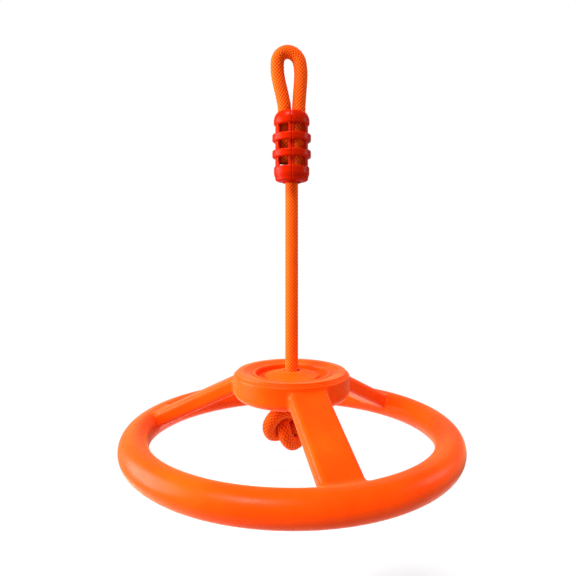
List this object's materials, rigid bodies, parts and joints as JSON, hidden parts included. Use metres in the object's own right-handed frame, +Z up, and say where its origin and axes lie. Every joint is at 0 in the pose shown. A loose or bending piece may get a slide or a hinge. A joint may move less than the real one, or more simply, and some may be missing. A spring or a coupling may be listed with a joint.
{
  "type": "hand-hold wheel swing",
  "caption": "Round plastic hand-hold wheel with sloping spokes, hung level on a knotted braided rope with a clamped eye for hanging",
  "frame": {"origin": "on the rope's line, at the height of the eye's inner bearing point, where it hangs from its hook", "axes": "+Z up along the rope, X across the plane of the eye, -Y towards the side that one spoke nearly faces"},
  "size_m": [0.3, 0.3, 0.3663],
  "materials": {
    "wheel_plastic": "satin moulded plastic, bright orange",
    "bush_plastic": "moulded plastic, bright orange",
    "washer_steel": "zinc plated steel",
    "rope_fibre": "fine diagonal braid, bright orange",
    "clamp_plastic": "glossy moulded plastic, red"
  },
  "bodies": {
    "hanger": {"rope_eye": "rope_fibre", "clamp_left": "clamp_plastic", "clamp_right": "clamp_plastic"},
    "neck": {"rope_neck": "rope_fibre"},
    "rope": {"rope_run": "rope_fibre", "stopper_knot": "rope_fibre", "knot_washer": "washer_steel"},
    "bush": {"rope_bush": "bush_plastic"},
    "wheel": {"rim": "wheel_plastic", "hub_drum": "wheel_plastic", "spoke_1": "wheel_plastic", "spoke_2": "wheel_plastic", "spoke_3": "wheel_plastic", "hub_cap": "wheel_plastic"}
  },
  "joints": [
    {"name": "swing_side", "type": "hinge", "parent": "hanger", "child": "neck", "pos_m": [0, 0, -0.1136], "axis": [0, 1, 0], "range_deg": [-30, 30]},
    {"name": "swing_front", "type": "hinge", "parent": "neck", "child": "rope", "pos_m": [0, 0, -0.1136], "axis": [1, 0, 0], "range_deg": [-30, 30]},
    {"name": "wheel_lift", "type": "slide", "parent": "rope", "child": "bush", "axis": [0, 0, 1], "range_m": [0, 0.15]},
    {"name": "wheel_spin", "type": "hinge", "parent": "bush", "child": "wheel", "pos_m": [0, 0, -0.339], "axis": [0, 0, 1], "continuous": true}
  ]
}
